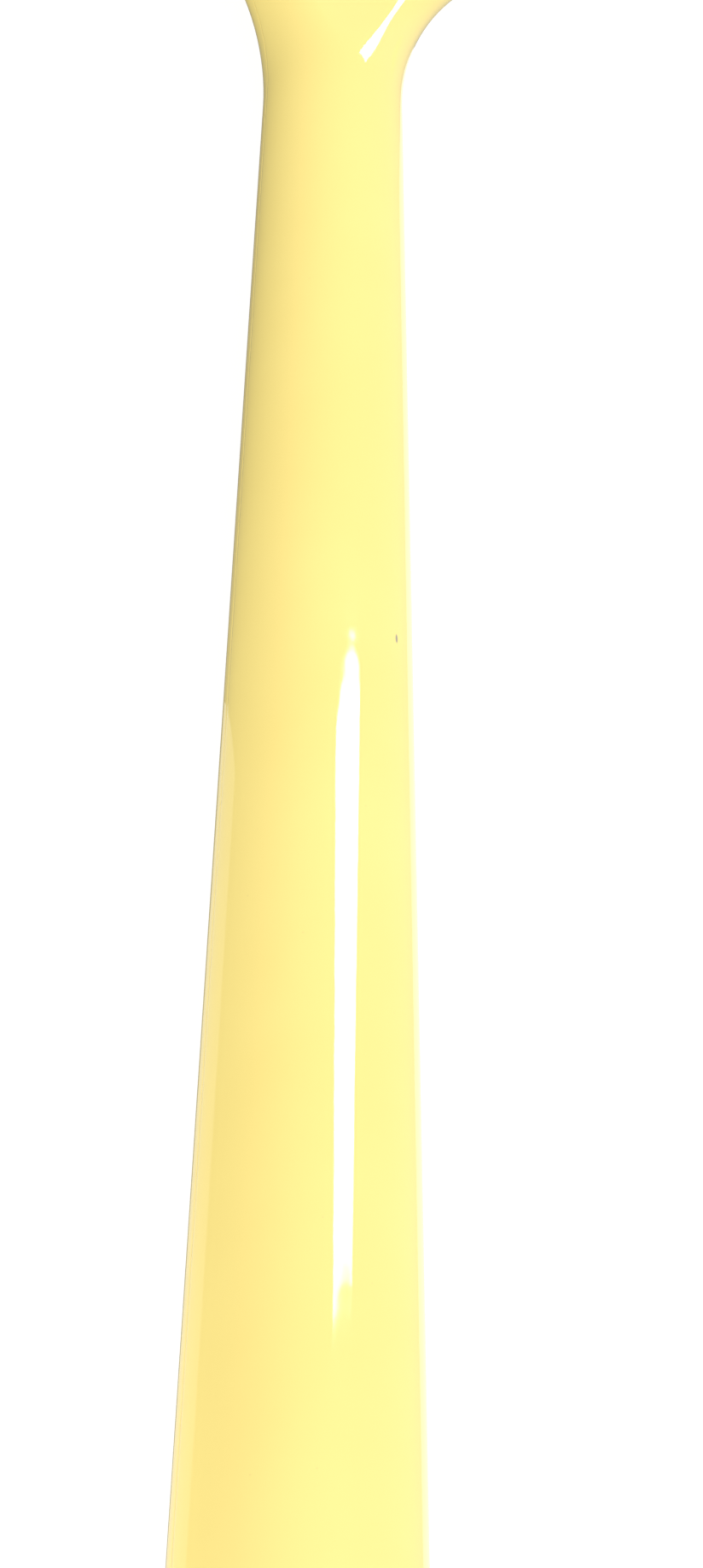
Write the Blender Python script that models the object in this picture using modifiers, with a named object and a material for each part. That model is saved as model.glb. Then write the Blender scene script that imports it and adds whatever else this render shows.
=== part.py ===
"""Junior badminton racket: two moulded handle shells whose jaws clamp a strung oval hoop.

Lengths are in metres. X runs across the racket, Y along it from the butt to the tip, and Z up, square to the
strings. The racket lies on its rear face, touching the ground at the butt and at the tip of the hoop.
"""
import math

import bmesh
import bpy
from mathutils import Matrix, Vector

# Driving dimensions
TOTAL_LENGTH = 0.495
HANDLE_LENGTH = 0.226
BUTT_DIAMETER = 0.027
NECK_DIAMETER = 0.0164
SHELL_WALL = 0.0022
THROAT_FILLET_RADIUS = 0.042
THROAT_EASE_LENGTH = 0.021
HOOP_HALF_WIDTH = 0.096
HOOP_HALF_LENGTH = 0.118
HOOP_DEPTH = 0.0095
HOOP_THICKNESS = 0.0062
HOOP_CORNER_RADIUS = 0.0010
GROOVE_WIDTH = 0.004
GROOVE_DEPTH = 0.0019
JAW_WALL = 0.0014
JAW_COVER = 0.0024
JAW_EAR_ANGLE = 0.62
CLEARANCE = 0.0003

# Butt cap
CAP_FLANGE = 0.005
CAP_SPIGOT_END = 0.020
CAP_FACE_RADIUS = 0.0109
CAP_EDGE_DROP = 0.0024

# Strings
STRING_DIAMETER = 0.0011
STRING_HOLE_DIAMETER = 0.0019
MAIN_COUNT = 12
MAIN_PITCH = 0.013
CROSS_COUNT = 14
CROSS_PITCH = 0.0136
HOLE_ROW_HEIGHT = 0.00095
WEAVE_HEIGHT = 0.00075
GROOVE_RUN_OFFSET = 0.00405
STRING_BEND = 0.00095
STRING_TAIL_ANGLE = 0.09
WEAVE_MARGIN = 0.0025
NEIGHBOUR_LENGTH = 0.006

# Screws, along the handle from the butt face
SCREW_PLACES = {"butt": 0.036, "middle": 0.150, "throat": 0.2215}
SCREW_HEAD_DIAMETER = 0.0056
SCREW_HEAD_HEIGHT = 0.0020
SCREW_SHANK_DIAMETER = 0.0026
SCREW_TIP_HEIGHT = 0.0045
SCREW_SEAT_DEPTH = 0.0034
SCREW_WELL_DIAMETER = 0.0064
SCREW_HOLE_DIAMETER = 0.0032
RIB_HALF_THICKNESS = 0.006
THROAT_BORE_END = 0.214

# Facet counts
SECTION_CAP_POINTS = 13
HOOP_STEPS = 72
CORNER_STEPS = 3
FILLET_STEPS = 14
JAW_STEPS = 7
LIP_STEPS = 24
LOOP_STEPS = 3
BEND_STEPS = 3
TURNED_STEPS = 32
SCREW_STEPS = 16
HOLE_SIDES = 8

# Worked out from the driving dimensions
BUTT_RADIUS = BUTT_DIAMETER / 2
NECK_RADIUS = NECK_DIAMETER / 2
HANDLE_TAPER = (BUTT_RADIUS - NECK_RADIUS) / HANDLE_LENGTH
HOOP_HALF_DEPTH = HOOP_DEPTH / 2
HOOP_HALF_THICKNESS = HOOP_THICKNESS / 2
HOOP_CENTRE_Y = TOTAL_LENGTH - HOOP_HALF_DEPTH - HOOP_HALF_LENGTH
JAW_OFFSET = HOOP_HALF_DEPTH + JAW_WALL
JAW_HALF_THICKNESS = HOOP_HALF_THICKNESS + CLEARANCE + JAW_WALL
SHELL_START = CAP_FLANGE + CLEARANCE
CAP_RADIUS = BUTT_RADIUS - HANDLE_TAPER * CAP_FLANGE
FAR = 0.2

# How the racket lies: its cap and the rear of the hoop's tip touch the ground
TIP_CONTACT_Y = TOTAL_LENGTH - HOOP_CORNER_RADIUS
RESTING_TILT = math.atan2(CAP_RADIUS - HOOP_HALF_THICKNESS, TIP_CONTACT_Y - CAP_FLANGE)
AXIS_HEIGHT = CAP_RADIUS * math.cos(RESTING_TILT) + CAP_FLANGE * math.sin(RESTING_TILT)
TIP_REACH = (TOTAL_LENGTH * math.cos(RESTING_TILT)
             + (HOOP_HALF_THICKNESS - HOOP_CORNER_RADIUS) * math.sin(RESTING_TILT))
BUTT_REACH = -CAP_FACE_RADIUS * math.sin(RESTING_TILT)

YELLOW = (0.86, 0.69, 0.21, 1.0)
NYLON = (0.80, 0.80, 0.76, 1.0)
STEEL = (0.55, 0.55, 0.56, 1.0)


def clear_scene():
    for item in list(bpy.data.objects):
        bpy.data.objects.remove(item, do_unlink=True)


def make_collection(name):
    collection = bpy.data.collections.new(name)
    bpy.context.scene.collection.children.link(collection)
    return collection


def make_material(name, colour, roughness, metallic):
    material = bpy.data.materials.new(name)
    material.use_nodes = True
    shader = material.node_tree.nodes["Principled BSDF"]
    shader.inputs["Base Color"].default_value = colour
    shader.inputs["Roughness"].default_value = roughness
    shader.inputs["Metallic"].default_value = metallic
    return material


def solve(function, low, high):
    """Root of a function that changes sign once between low and high."""
    low_is_positive = function(low) > 0
    for _ in range(60):
        middle = (low + high) / 2
        if (function(middle) > 0) == low_is_positive:
            low = middle
        else:
            high = middle
    return (low + high) / 2


def hoop_point(angle, offset):
    """Point of the hoop's oval at an angle from its lowest point, moved outwards by offset."""
    normal = Vector((math.sin(angle) / HOOP_HALF_WIDTH, -math.cos(angle) / HOOP_HALF_LENGTH)).normalized()
    centre_line = Vector((HOOP_HALF_WIDTH * math.sin(angle),
                          HOOP_CENTRE_Y - HOOP_HALF_LENGTH * math.cos(angle)))
    return centre_line + offset * normal


def handle_radius(y):
    return BUTT_RADIUS - HANDLE_TAPER * y


def fillet_rise(angle):
    """How far up the throat's fillet its slope equals that of the jaw's oval at an angle."""
    slope = HOOP_HALF_WIDTH * math.cos(angle) / (HOOP_HALF_LENGTH * math.sin(angle)) + HANDLE_TAPER
    return THROAT_FILLET_RADIUS * slope / math.hypot(1.0, slope)


def fillet_bulge(rise):
    return THROAT_FILLET_RADIUS - math.sqrt(THROAT_FILLET_RADIUS ** 2 - rise ** 2)


def fillet_mismatch(angle):
    x, y = hoop_point(angle, JAW_OFFSET)
    return handle_radius(y) + fillet_bulge(fillet_rise(angle)) - x


JOIN_ANGLE = solve(fillet_mismatch, 0.05, 1.2)
JOIN_Y = hoop_point(JOIN_ANGLE, JAW_OFFSET).y
FILLET_START = JOIN_Y - fillet_rise(JOIN_ANGLE)
EAR_TOP = hoop_point(JAW_EAR_ANGLE, -JAW_COVER).y
LOFT_END = EAR_TOP + JAW_WALL


def half_width(y):
    """Half width of the handle and throat: a straight taper, a fillet, then the jaw's oval."""
    if y <= FILLET_START:
        return handle_radius(y)
    if y <= JOIN_Y:
        return handle_radius(y) + fillet_bulge(y - FILLET_START)
    angle = solve(lambda trial: hoop_point(trial, JAW_OFFSET).y - y, JOIN_ANGLE, math.pi / 2)
    return hoop_point(angle, JAW_OFFSET).x


def half_thickness(y):
    """Half thickness: round along the handle, then eased to the flat throat and jaws."""
    share = min(max((y - FILLET_START) / THROAT_EASE_LENGTH, 0.0), 1.0)
    ease = share * share * (3 - 2 * share)
    return handle_radius(y) * (1 - ease) + JAW_HALF_THICKNESS * ease


def section_ring(y, width, thickness):
    """Flat-sided section with round ends, a plain circle where width and thickness are equal."""
    ring = []
    for side in (1, -1):
        for step in range(SECTION_CAP_POINTS):
            angle = -math.pi / 2 + (step + 0.5) * math.pi / SECTION_CAP_POINTS
            x = side * (width - thickness + thickness * math.cos(angle))
            ring.append(Vector((x, y, side * thickness * math.sin(angle))))
    return ring


def loft_mesh(name, rings, closed=False):
    """Skin over rings of equal counts, closed on itself or capped at both ends."""
    build = bmesh.new()
    grid = [[build.verts.new(point) for point in ring] for ring in rings]
    pairs = list(zip(grid, grid[1:]))
    if closed:
        pairs.append((grid[-1], grid[0]))
    else:
        build.faces.new(grid[0])
        build.faces.new(grid[-1])
    count = len(rings[0])
    for lower, upper in pairs:
        for step in range(count):
            after = (step + 1) % count
            build.faces.new((lower[step], lower[after], upper[after], upper[step]))
    bmesh.ops.recalc_face_normals(build, faces=build.faces)
    mesh = bpy.data.meshes.new(name)
    build.to_mesh(mesh)
    build.free()
    return mesh


def join_meshes(name, meshes):
    build = bmesh.new()
    for mesh in meshes:
        build.from_mesh(mesh)
        bpy.data.meshes.remove(mesh)
    joined = bpy.data.meshes.new(name)
    build.to_mesh(joined)
    build.free()
    return joined


def add_part(name, data, material):
    part = bpy.data.objects.new(name, data)
    part.parent = racket
    part.data.materials.append(material)
    parts.objects.link(part)
    if part.type == "MESH":
        part.data.shade_smooth()
        part.data.set_sharp_from_angle(angle=math.radians(35))
    return part


def add_cutter(name, mesh):
    cutter = bpy.data.objects.new(name, mesh)
    cutter.parent = racket
    cutter.hide_render = True
    cutter.display_type = "WIRE"
    cutters.objects.link(cutter)
    return cutter


def subtract(part, cutter):
    cut = part.modifiers.new(cutter.name, "BOOLEAN")
    cut.operation = "DIFFERENCE"
    cut.object = cutter


def turn(part, steps):
    """Turn a part's profile about its own Z axis."""
    screw = part.modifiers.new("turn", "SCREW")
    screw.steps = steps
    screw.render_steps = steps
    screw.use_merge_vertices = True
    screw.merge_threshold = 0.00001


def profile_mesh(name, points):
    """Open profile in the XZ plane, from the axis at the top, down the outside, to the axis at the bottom."""
    mesh = bpy.data.meshes.new(name)
    edges = [(step, step + 1) for step in range(len(points) - 1)]
    mesh.from_pydata([(radius, 0.0, height) for radius, height in points], edges, [])
    return mesh


def block_mesh(name, low, high):
    build = bmesh.new()
    size = high - low
    place = Matrix.Translation((low + high) / 2) @ Matrix.Diagonal((*size, 1.0))
    bmesh.ops.create_cube(build, size=1.0, matrix=place)
    mesh = bpy.data.meshes.new(name)
    build.to_mesh(mesh)
    build.free()
    return mesh


def rounded_profile(half_depth, half_thick, corner, groove_half=0.0, groove_depth=0.0):
    """Section of the hoop as (offset, height), with an optional string groove on its outer side."""
    points = []
    if groove_depth:
        floor = half_depth - groove_depth
        points += [(half_depth, -groove_half), (floor, -groove_half), (floor, groove_half), (half_depth, groove_half)]
    for quarter, (side, up) in enumerate(((1, 1), (-1, 1), (-1, -1), (1, -1))):
        for step in range(CORNER_STEPS + 1):
            angle = (quarter + step / CORNER_STEPS) * math.pi / 2
            points.append((side * (half_depth - corner) + corner * math.cos(angle),
                           up * (half_thick - corner) + corner * math.sin(angle)))
    return points


def swept_hoop(name, profile):
    rings = []
    for step in range(HOOP_STEPS):
        angle = 2 * math.pi * step / HOOP_STEPS
        rings.append([Vector((*hoop_point(angle, offset), height)) for offset, height in profile])
    return loft_mesh(name, rings, closed=True)


def loft_stations():
    """Places along Y where the handle's section is drawn."""
    stations = [SHELL_START, HANDLE_LENGTH / 3, HANDLE_LENGTH * 2 / 3]
    join_turn = math.asin((JOIN_Y - FILLET_START) / THROAT_FILLET_RADIUS)
    for step in range(FILLET_STEPS):
        stations.append(FILLET_START + THROAT_FILLET_RADIUS * math.sin(join_turn * step / FILLET_STEPS))
    for step in range(JAW_STEPS + 1):
        stations.append(JOIN_Y + (LOFT_END - JOIN_Y) * step / JAW_STEPS)
    return stations


def handle_mesh(name):
    return loft_mesh(name, [section_ring(y, half_width(y), half_thickness(y)) for y in loft_stations()])


def bed_mesh(name):
    """Everything inside the jaws' lips and past the square ends of their ears."""
    outline = []
    for step in range(LIP_STEPS + 1):
        angle = JAW_EAR_ANGLE * (2 * step / LIP_STEPS - 1)
        outline.append(hoop_point(angle, -JAW_COVER))
    ear_end = hoop_point(JAW_EAR_ANGLE, HOOP_HALF_DEPTH + 4 * JAW_OFFSET)
    outline += [ear_end, Vector((FAR, ear_end.y)), Vector((FAR, TOTAL_LENGTH + FAR))]
    outline += [Vector((-point.x, point.y)) for point in reversed(outline[-3:])]
    rings = [[Vector((point.x, point.y, height)) for point in outline] for height in (-FAR / 4, FAR / 4)]
    return loft_mesh(name, rings)


def bore_mesh(name):
    """Hollow of the handle, left solid at the ribs that take the screws."""
    low_rib = SCREW_PLACES["butt"]
    high_rib = SCREW_PLACES["middle"]
    spans = ((0.0, low_rib - RIB_HALF_THICKNESS),
             (low_rib + RIB_HALF_THICKNESS, high_rib - RIB_HALF_THICKNESS),
             (high_rib + RIB_HALF_THICKNESS, THROAT_BORE_END))
    bores = []
    for start, end in spans:
        rings = [section_ring(y, *[handle_radius(y) - SHELL_WALL] * 2) for y in (start, end)]
        bores.append(loft_mesh(name, rings))
    return join_meshes(name, bores)


def make_shells(plastic):
    common = [add_cutter("bed_cutter", bed_mesh("bed_cutter")),
              add_cutter("channel_cutter", swept_hoop("channel_cutter", rounded_profile(
                  HOOP_HALF_DEPTH + CLEARANCE, HOOP_HALF_THICKNESS + CLEARANCE, HOOP_CORNER_RADIUS))),
              add_cutter("bore_cutter", bore_mesh("bore_cutter"))]
    well = profile_mesh("screw_well_cutter", [
        (0.0, SCREW_TIP_HEIGHT + CLEARANCE * 2),
        (SCREW_HOLE_DIAMETER / 2, SCREW_TIP_HEIGHT + CLEARANCE * 2),
        (SCREW_HOLE_DIAMETER / 2, -SCREW_SEAT_DEPTH),
        (SCREW_WELL_DIAMETER / 2, -SCREW_SEAT_DEPTH),
        (SCREW_WELL_DIAMETER / 2, -BUTT_DIAMETER),
        (0.0, -BUTT_DIAMETER)])
    for place, y in SCREW_PLACES.items():
        cutter = add_cutter(f"screw_well_{place}", well)
        cutter.location.y = y
        turn(cutter, SCREW_STEPS)
        common.append(cutter)
    parting = CLEARANCE / 2
    for side, low, high in (("front", -FAR, parting), ("rear", -parting, FAR)):
        name = f"handle_{side}_shell"
        other_half = add_cutter(f"{side}_half_cutter", block_mesh(
            f"{side}_half_cutter", Vector((-FAR, -FAR, low)), Vector((FAR, TOTAL_LENGTH + FAR, high))))
        shell = add_part(name, handle_mesh(name), plastic)
        for cutter in common + [other_half]:
            subtract(shell, cutter)


def main_places():
    return [(step - (MAIN_COUNT - 1) / 2) * MAIN_PITCH for step in range(MAIN_COUNT)]


def cross_places():
    return [(step - (CROSS_COUNT - 1) / 2) * CROSS_PITCH for step in range(CROSS_COUNT)]


def main_angle(place, offset):
    """Angle below the hoop's middle where a main at x = place meets an offset of the oval."""
    angle = solve(lambda trial: hoop_point(trial, offset).x - abs(place), 0.0, math.pi / 2)
    return math.copysign(angle, place)


def cross_angle(place, offset):
    """Angle on the right of the hoop where a cross at place from its middle meets an offset of the oval."""
    return solve(lambda trial: hoop_point(trial, offset).y - HOOP_CENTRE_Y - place, 0.0, math.pi)


def make_hoop(plastic):
    profile = rounded_profile(HOOP_HALF_DEPTH, HOOP_HALF_THICKNESS, HOOP_CORNER_RADIUS, GROOVE_WIDTH / 2, GROOVE_DEPTH)
    hoop = add_part("hoop", swept_hoop("hoop", profile), plastic)
    build = bmesh.new()
    along_y = Matrix.Rotation(math.pi / 2, 4, "X")
    along_x = Matrix.Rotation(math.pi / 2, 4, "Y")
    drills = [((x, HOOP_CENTRE_Y, HOLE_ROW_HEIGHT), along_y, HOOP_HALF_LENGTH) for x in main_places()]
    drills += [((0.0, HOOP_CENTRE_Y + y, -HOLE_ROW_HEIGHT), along_x, HOOP_HALF_WIDTH) for y in cross_places()]
    for centre, facing, reach in drills:
        bmesh.ops.create_cone(build, cap_ends=True, segments=HOLE_SIDES, radius1=STRING_HOLE_DIAMETER / 2,
                              radius2=STRING_HOLE_DIAMETER / 2, depth=2 * (reach + HOOP_DEPTH),
                              matrix=Matrix.Translation(centre) @ facing)
    mesh = bpy.data.meshes.new("string_hole_cutter")
    build.to_mesh(mesh)
    build.free()
    subtract(hoop, add_cutter("string_hole_cutter", mesh))


def bend(before, corner, after):
    """Points that round a corner between two directions."""
    arrive = (corner - before).normalized()
    leave = (after - corner).normalized()
    reach = STRING_BEND * math.tan(arrive.angle(leave) / 2)
    start = corner - arrive * reach
    end = corner + leave * reach
    points = []
    for step in range(BEND_STEPS + 1):
        share = step / BEND_STEPS
        points.append(start.lerp(corner, share).lerp(corner.lerp(end, share), share))
    return points


def groove_run(start, end, height):
    """Points along the groove between two angles, both ends included."""
    angles = [start + (end - start) * step / LOOP_STEPS for step in range(LOOP_STEPS + 1)]
    return [Vector((*hoop_point(angle, GROOVE_RUN_OFFSET), height)) for angle in angles]


def string_path(chords, height):
    """One unbroken path: up one chord, along the groove, down the next.

    A chord is its start and end angle in the groove and its points between the two holes, from start to end.
    """
    path = []
    for number, (start, end, inner) in enumerate(chords):
        if number % 2:
            start, end, inner = end, start, inner[::-1]
        if number == 0:
            tail = groove_run(start - STRING_TAIL_ANGLE, start, height)
            path += tail[:-1] + bend(tail[-2], tail[-1], inner[0])
        path += inner
        if number + 1 < len(chords):
            following = chords[number + 1]
            next_inner = following[2] if number % 2 else following[2][::-1]
            run = groove_run(end, following[0] if number % 2 else following[1], height)
            path += bend(inner[-1], run[0], run[1]) + run[1:-1] + bend(run[-2], run[-1], next_inner[0])
        else:
            sweep = STRING_TAIL_ANGLE if number % 2 else -STRING_TAIL_ANGLE
            tail = groove_run(end, end + sweep, height)
            path += bend(inner[-1], tail[0], tail[1]) + tail[1:]
    return path


def main_chords():
    chords = []
    for number, x in enumerate(main_places()):
        low = main_angle(x, GROOVE_RUN_OFFSET)
        edge = HOOP_CENTRE_Y - hoop_point(main_angle(x, -HOOP_HALF_DEPTH - CLEARANCE), -HOOP_HALF_DEPTH - CLEARANCE).y
        inner = [Vector((x, HOOP_CENTRE_Y - edge, HOLE_ROW_HEIGHT))]
        for crossing, y in enumerate(cross_places()):
            if abs(y) < edge - WEAVE_MARGIN:
                over = 1 if (number + crossing) % 2 else -1
                inner.append(Vector((x, HOOP_CENTRE_Y + y, over * WEAVE_HEIGHT)))
        inner.append(Vector((x, HOOP_CENTRE_Y + edge, HOLE_ROW_HEIGHT)))
        chords.append((low, math.copysign(math.pi, x) - low, inner))
    return chords


def cross_chords():
    chords = []
    for number, y in enumerate(cross_places()):
        right = cross_angle(y, GROOVE_RUN_OFFSET)
        edge = hoop_point(cross_angle(y, -HOOP_HALF_DEPTH - CLEARANCE), -HOOP_HALF_DEPTH - CLEARANCE).x
        inner = [Vector((edge, HOOP_CENTRE_Y + y, -HOLE_ROW_HEIGHT))]
        for crossing, x in reversed(list(enumerate(main_places()))):
            if abs(x) < edge - WEAVE_MARGIN:
                over = -1 if (number + crossing) % 2 else 1
                inner.append(Vector((x, HOOP_CENTRE_Y + y, over * WEAVE_HEIGHT)))
        inner.append(Vector((-edge, HOOP_CENTRE_Y + y, -HOLE_ROW_HEIGHT)))
        chords.append((right, -right, inner))
    return chords


def least_gap(path, diameter):
    """Least clear distance between two stretches of a path that aren't neighbours along it."""
    travelled = [0.0]
    for first, second in zip(path, path[1:]):
        travelled.append(travelled[-1] + (second - first).length)
    gap = FAR
    for place, point in enumerate(path):
        for other in range(place + 1, len(path)):
            if travelled[other] - travelled[place] > NEIGHBOUR_LENGTH:
                gap = min(gap, (path[other] - point).length - diameter)
    return gap


def make_string(name, chords, height, nylon):
    path = string_path(chords, height)
    curve = bpy.data.curves.new(name, "CURVE")
    curve.dimensions = "3D"
    curve.bevel_depth = STRING_DIAMETER / 2
    curve.bevel_resolution = 1
    curve.use_fill_caps = True
    spline = curve.splines.new("POLY")
    spline.points.add(len(path) - 1)
    for target, point in zip(spline.points, path):
        target.co = (*point, 1.0)
    add_part(name, curve, nylon)
    print(f"{name}: least gap to itself {least_gap(path, STRING_DIAMETER) * 1000:.2f} mm")


def make_butt_cap(plastic):
    spigot_radius = handle_radius(CAP_SPIGOT_END) - SHELL_WALL - CLEARANCE
    profile = [(0.0, 0.0), (CAP_FACE_RADIUS, 0.0)]
    edge_width = CAP_RADIUS - CAP_FACE_RADIUS
    for step in range(1, CORNER_STEPS + 1):
        angle = step * math.pi / 2 / CORNER_STEPS
        profile.append((CAP_FACE_RADIUS + edge_width * math.sin(angle), -CAP_EDGE_DROP * (1 - math.cos(angle))))
    profile += [(CAP_RADIUS, -CAP_FLANGE), (spigot_radius, -CAP_FLANGE),
                (spigot_radius, -CAP_SPIGOT_END), (0.0, -CAP_SPIGOT_END)]
    cap = add_part("butt_cap", profile_mesh("butt_cap", profile), plastic)
    cap.rotation_euler.x = math.pi / 2
    turn(cap, TURNED_STEPS)


def make_screws(steel):
    head_top = -SCREW_SEAT_DEPTH - CLEARANCE
    shank_radius = SCREW_SHANK_DIAMETER / 2
    profile = [(0.0, SCREW_TIP_HEIGHT), (shank_radius / 2, SCREW_TIP_HEIGHT),
               (shank_radius, SCREW_TIP_HEIGHT - shank_radius), (shank_radius, head_top),
               (SCREW_HEAD_DIAMETER / 2, head_top), (SCREW_HEAD_DIAMETER / 2, head_top - SCREW_HEAD_HEIGHT / 2),
               (SCREW_HEAD_DIAMETER / 4, head_top - SCREW_HEAD_HEIGHT), (0.0, head_top - SCREW_HEAD_HEIGHT)]
    for place, y in SCREW_PLACES.items():
        name = f"shell_screw_{place}"
        screw = add_part(name, profile_mesh(name, profile), steel)
        screw.location.y = y
        turn(screw, SCREW_STEPS)


clear_scene()
parts = make_collection("junior_badminton_racket")
cutters = make_collection("cutters")
racket = bpy.data.objects.new("racket_axis", None)
parts.objects.link(racket)
racket.rotation_euler.x = -RESTING_TILT
racket.location.y = -(TIP_REACH + BUTT_REACH) / 2
racket.location.z = AXIS_HEIGHT

yellow_plastic = make_material("yellow_plastic", YELLOW, 0.15, 0.0)
white_nylon = make_material("white_nylon", NYLON, 0.35, 0.0)
screw_steel = make_material("screw_steel", STEEL, 0.3, 1.0)

make_shells(yellow_plastic)
make_hoop(yellow_plastic)
make_string("main_string", main_chords(), HOLE_ROW_HEIGHT, white_nylon)
make_string("cross_string", cross_chords(), -HOLE_ROW_HEIGHT, white_nylon)
make_butt_cap(yellow_plastic)
make_screws(screw_steel)
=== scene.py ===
"""Looks of a junior badminton racket: glossy yellow mouldings, a woven nylon string bed and plated screws.

Lengths are in metres. Pieces are drawn in the racket's own axes: X across it, Y along it from the butt to
the tip, and Z up, square to the strings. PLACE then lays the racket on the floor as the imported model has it.
"""
import math

import bmesh
import bpy
from mathutils import Matrix, Vector


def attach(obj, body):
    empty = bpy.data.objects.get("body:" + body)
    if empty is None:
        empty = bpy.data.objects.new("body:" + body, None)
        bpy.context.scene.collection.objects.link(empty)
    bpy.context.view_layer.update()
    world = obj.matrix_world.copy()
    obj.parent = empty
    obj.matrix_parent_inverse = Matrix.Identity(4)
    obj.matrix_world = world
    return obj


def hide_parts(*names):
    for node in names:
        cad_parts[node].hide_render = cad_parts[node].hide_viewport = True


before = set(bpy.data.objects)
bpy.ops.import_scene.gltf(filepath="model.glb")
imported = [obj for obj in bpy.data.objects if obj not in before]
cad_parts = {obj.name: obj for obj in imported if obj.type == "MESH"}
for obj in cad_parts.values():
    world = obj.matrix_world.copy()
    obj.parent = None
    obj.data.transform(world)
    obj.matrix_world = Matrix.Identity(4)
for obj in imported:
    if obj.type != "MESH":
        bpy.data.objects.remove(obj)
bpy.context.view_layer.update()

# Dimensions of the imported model
TOTAL_LENGTH = 0.495
HANDLE_LENGTH = 0.226
BUTT_RADIUS = 0.0135
NECK_RADIUS = 0.0082
SHELL_WALL = 0.0022
RIB_HALF_THICKNESS = 0.006
THROAT_BORE_END = 0.214
THROAT_FILLET_RADIUS = 0.042
THROAT_EASE_LENGTH = 0.021
HOOP_HALF_WIDTH = 0.096
HOOP_HALF_LENGTH = 0.118
HOOP_HALF_DEPTH = 0.00475
HOOP_HALF_THICKNESS = 0.0031
HOOP_CORNER_RADIUS = 0.0010
GROOVE_HALF_WIDTH = 0.0020
GROOVE_DEPTH = 0.0019
JAW_WALL = 0.0014
JAW_COVER = 0.0024
JAW_EAR_ANGLE = 0.62
CLEARANCE = 0.0003
CAP_FLANGE = 0.005
CAP_SPIGOT_END = 0.020
CAP_FACE_RADIUS = 0.0109
CAP_EDGE_DROP = 0.0024
STRING_RADIUS = 0.00055
STRING_HOLE_RADIUS = 0.00095
MAIN_COUNT = 12
MAIN_PITCH = 0.013
CROSS_COUNT = 14
CROSS_PITCH = 0.0136
HOLE_ROW_HEIGHT = 0.00095
GROOVE_RUN_OFFSET = 0.00405
STRING_BEND = 0.00095
STRING_TAIL_ANGLE = 0.09
WEAVE_MARGIN = 0.0025
SCREW_PLACES = {"butt": 0.036, "middle": 0.150, "throat": 0.2215}
SCREW_HEAD_RADIUS = 0.0028
SCREW_HEAD_HEIGHT = 0.0020
SCREW_SHANK_RADIUS = 0.0013
SCREW_TIP_HEIGHT = 0.0045
SCREW_SEAT_DEPTH = 0.0034
SCREW_WELL_RADIUS = 0.0032

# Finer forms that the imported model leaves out
SEAM_HALF_GAP = 0.00001
SEAM_EDGE = 0.00006
SHELL_END_EDGE = 0.0003
FLAT_BLEND = math.radians(15)
GROOVE_EDGE = 0.0004
WEAVE_HEIGHT = 0.00057
KNOT_SCALE = 0.00056
GATE_RADIUS = 0.0017
GATE_DEPTH = 0.0004
GATE_FLOOR_SHARE = 0.8
GATE_STEP_SHARE = 0.6
GATE_RIM_SHARE = 1.12
FACE_RING_SHARE = 0.6
SCREW_CROWN_SHARE = 0.55
SCREW_CROWN_SWEEP = math.radians(70)
SCREW_CROWN_POWER = 0.6
FIRST_SCREW_TURN = 0.5
SCREW_TURN_STEP = 0.9
CROSS_RECESS_WIDTH = 0.0009
CROSS_RECESS_LENGTH = 0.0031
CROSS_RECESS_DEPTH = 0.0010
CROSS_RECESS_TURN = 0.03
RECESS_END_SHARE = 0.55
RECESS_WIDTH_KEPT = 0.6

# Facet counts
CROWN_POINTS = 36
FIRST_CROWN_POINT = 0.9
SPARE_CROWN_POINTS = 0.4
HANDLE_STEPS = 14
FILLET_STEPS = 30
JAW_STEPS = 30
HOOP_STEPS = 288
CORNER_STEPS = 8
LIP_STEPS = 80
TURNED_STEPS = 96
HOLE_SIDES = 20
WEAVE_STEPS = 6
LOOP_STEPS = 10
BEND_STEPS = 6
KNOT_STEPS = 60
HALVINGS = 60

# Angles in degrees up to which neighbouring faces shade as one surface
SHELL_SMOOTH = 32
HOOP_SMOOTH = 35
CAP_SMOOTH = 25
SCREW_SMOOTH = 30

# How far the cutter of the jaws' bed reaches past the racket, and to each side of its middle plane
FAR = 0.2
BED_HALF_HEIGHT = 0.05

# Worked out from the dimensions
HANDLE_TAPER = (BUTT_RADIUS - NECK_RADIUS) / HANDLE_LENGTH
HOOP_CENTRE_Y = TOTAL_LENGTH - HOOP_HALF_DEPTH - HOOP_HALF_LENGTH
JAW_OFFSET = HOOP_HALF_DEPTH + JAW_WALL
JAW_HALF_THICKNESS = HOOP_HALF_THICKNESS + CLEARANCE + JAW_WALL
SHELL_START = CAP_FLANGE + CLEARANCE
CAP_RADIUS = BUTT_RADIUS - HANDLE_TAPER * CAP_FLANGE
EAR_CUT_OFFSET = HOOP_HALF_DEPTH + 4 * JAW_OFFSET

# How the racket lies on its rear face
TIP_CONTACT_Y = TOTAL_LENGTH - HOOP_CORNER_RADIUS
RESTING_TILT = math.atan2(CAP_RADIUS - HOOP_HALF_THICKNESS, TIP_CONTACT_Y - CAP_FLANGE)
AXIS_HEIGHT = CAP_RADIUS * math.cos(RESTING_TILT) + CAP_FLANGE * math.sin(RESTING_TILT)
TIP_REACH = (TOTAL_LENGTH * math.cos(RESTING_TILT)
             + (HOOP_HALF_THICKNESS - HOOP_CORNER_RADIUS) * math.sin(RESTING_TILT))
BUTT_REACH = -CAP_FACE_RADIUS * math.sin(RESTING_TILT)
PLACE = (Matrix.Translation((0.0, -(TIP_REACH + BUTT_REACH) / 2, AXIS_HEIGHT))
         @ Matrix.Rotation(-RESTING_TILT, 4, "X"))


# Geometry helpers

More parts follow.
